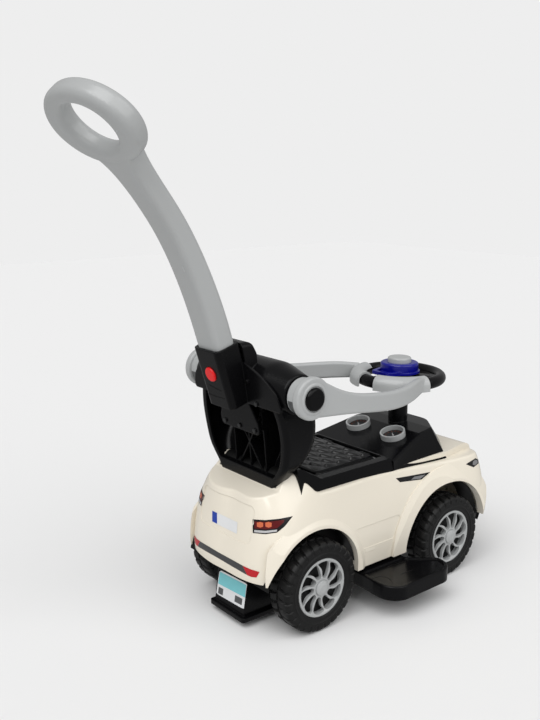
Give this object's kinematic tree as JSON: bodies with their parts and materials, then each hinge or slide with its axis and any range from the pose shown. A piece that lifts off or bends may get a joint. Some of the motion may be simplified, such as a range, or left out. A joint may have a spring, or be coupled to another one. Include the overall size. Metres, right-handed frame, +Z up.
{
  "type": "push car with handle",
  "caption": "Toddler ride-on push car with a moulded body, quilted lid seat over a storage bin, steered front wheels, guard arms, footboards and a removable push handle.",
  "frame": {"origin": "on the ground under the middle of the whole part, seen from above", "axes": "+X forward, +Y to the car's left, +Z up"},
  "size_m": [0.8518, 0.406, 0.892],
  "materials": {
    "cream_gloss": "glossy moulded plastic",
    "grey_gloss": "glossy moulded plastic",
    "grey_wheel": "satin moulded plastic",
    "black_gloss": "glossy moulded plastic",
    "black_satin": "satin moulded plastic",
    "black_matte": "matt moulded plastic",
    "tyre_black": "hard moulded plastic tyre, satin",
    "blue_gloss": "glossy moulded plastic",
    "red_gloss": "glossy moulded plastic",
    "dial_face": "printed dial face",
    "steel": "plain steel"
  },
  "bodies": {
    "car": {"body_shell": "cream_gloss", "chassis": "black_matte", "chassis_screws": "steel", "rear_stop": "black_satin", "front_valance": "black_satin", "rear_axle": "steel", "rear_axle_spacers": "black_matte", "kingpins": "steel", "seat_surround": "black_gloss", "storage_bin": "black_matte", "seat_hinge_pin": "steel", "dash_cowl": "black_gloss", "gauge_bezels": "grey_gloss", "gauge_dials": "dial_face", "handle_socket": "black_satin", "socket_screws": "steel", "button_spring": "steel", "backrest": "black_satin", "footboard_left": "black_satin", "arm_pivot_left": "black_matte", "arm_cap_left": "black_gloss", "axle_nut_rear_left": "steel", "footboard_right": "black_satin", "arm_pivot_right": "black_matte", "arm_cap_right": "black_gloss", "axle_nut_rear_right": "steel"},
    "steering": {"steering_shaft": "steel", "steering_wheel": "black_satin", "steering_hub_cover": "blue_gloss", "horn_spring": "steel"},
    "horn_button": {"horn_button": "grey_gloss"},
    "tie_rod": {"tie_rod": "black_matte"},
    "seat_lid": {"seat_lid": "black_gloss"},
    "push_handle": {"push_handle": "grey_gloss"},
    "release_button": {"release_button": "red_gloss"},
    "guard_arm_left": {"guard_arm_left": "grey_gloss"},
    "knuckle_left": {"knuckle_left": "black_matte", "stub_axle_left": "steel", "axle_nut_front_left": "steel"},
    "guard_arm_right": {"guard_arm_right": "grey_gloss"},
    "knuckle_right": {"knuckle_right": "black_matte", "stub_axle_right": "steel", "axle_nut_front_right": "steel"},
    "wheel_rear_left": {"tyre_rear_left": "tyre_black", "rim_rear_left": "grey_wheel", "hub_cap_rear_left": "grey_wheel"},
    "wheel_rear_right": {"tyre_rear_right": "tyre_black", "rim_rear_right": "grey_wheel", "hub_cap_rear_right": "grey_wheel"},
    "wheel_front_left": {"tyre_front_left": "tyre_black", "rim_front_left": "grey_wheel", "hub_cap_front_left": "grey_wheel"},
    "wheel_front_right": {"tyre_front_right": "tyre_black", "rim_front_right": "grey_wheel", "hub_cap_front_right": "grey_wheel"}
  },
  "joints": [
    {"name": "steering", "type": "hinge", "parent": "car", "child": "steering", "pos_m": [0.2709, 0, 0.3755], "axis": [0, 0, 1], "range_deg": [-30, 30]},
    {"name": "tie_rod_slide", "type": "slide", "parent": "car", "child": "tie_rod", "axis": [0, 1, 0], "range_m": [-0.0077, 0.0077]},
    {"name": "horn_press", "type": "slide", "parent": "steering", "child": "horn_button", "axis": [0, 0, -1], "range_m": [0, 0.0025], "stiffness_N_per_m": 400, "springref_m": -0.003, "deforming": ["horn_spring"]},
    {"name": "seat_lid_hinge", "type": "hinge", "parent": "car", "child": "seat_lid", "pos_m": [0.1299, 0, 0.2535], "axis": [0, 1, 0], "range_deg": [0, 70]},
    {"name": "push_handle_slide", "type": "slide", "parent": "car", "child": "push_handle", "axis": [-0.3007, 0, 0.9537], "range_m": [0, 0.1]},
    {"name": "release_press", "type": "slide", "parent": "car", "child": "release_button", "axis": [0.9537, 0, 0.3007], "range_m": [0, 0.0025], "stiffness_N_per_m": 500, "springref_m": -0.003, "deforming": ["button_spring"]},
    {"name": "knuckle_left_turn", "type": "hinge", "parent": "car", "child": "knuckle_left", "pos_m": [0.2809, 0.07, 0.08], "axis": [0, 0, 1], "range_deg": [-15.2, 15.2]},
    {"name": "guard_arm_left_hinge", "type": "hinge", "parent": "car", "child": "guard_arm_left", "pos_m": [-0.0931, 0.15, 0.42], "axis": [0, -1, 0], "range_deg": [0, 85]},
    {"name": "knuckle_right_turn", "type": "hinge", "parent": "car", "child": "knuckle_right", "pos_m": [0.2809, -0.07, 0.08], "axis": [0, 0, 1], "range_deg": [-15.2, 15.2]},
    {"name": "guard_arm_right_hinge", "type": "hinge", "parent": "car", "child": "guard_arm_right", "pos_m": [-0.0931, -0.15, 0.42], "axis": [0, -1, 0], "range_deg": [0, 85]},
    {"name": "wheel_rear_left_spin", "type": "hinge", "parent": "car", "child": "wheel_rear_left", "pos_m": [-0.0531, 0.114, 0.08], "axis": [0, 1, 0], "continuous": true},
    {"name": "wheel_rear_right_spin", "type": "hinge", "parent": "car", "child": "wheel_rear_right", "pos_m": [-0.0531, -0.114, 0.08], "axis": [0, 1, 0], "continuous": true},
    {"name": "wheel_front_left_spin", "type": "hinge", "parent": "knuckle_left", "child": "wheel_front_left", "pos_m": [0.2809, 0.114, 0.08], "axis": [0, 1, 0], "continuous": true},
    {"name": "wheel_front_right_spin", "type": "hinge", "parent": "knuckle_right", "child": "wheel_front_right", "pos_m": [0.2809, -0.114, 0.08], "axis": [0, 1, 0], "continuous": true}
  ],
  "couplings": [
    {"joint": "tie_rod_slide", "follows": "steering", "m_per_rad": -0.0145},
    {"joint": "knuckle_left_turn", "follows": "steering", "ratio": 0.5},
    {"joint": "knuckle_right_turn", "follows": "steering", "ratio": 0.5}
  ]
}
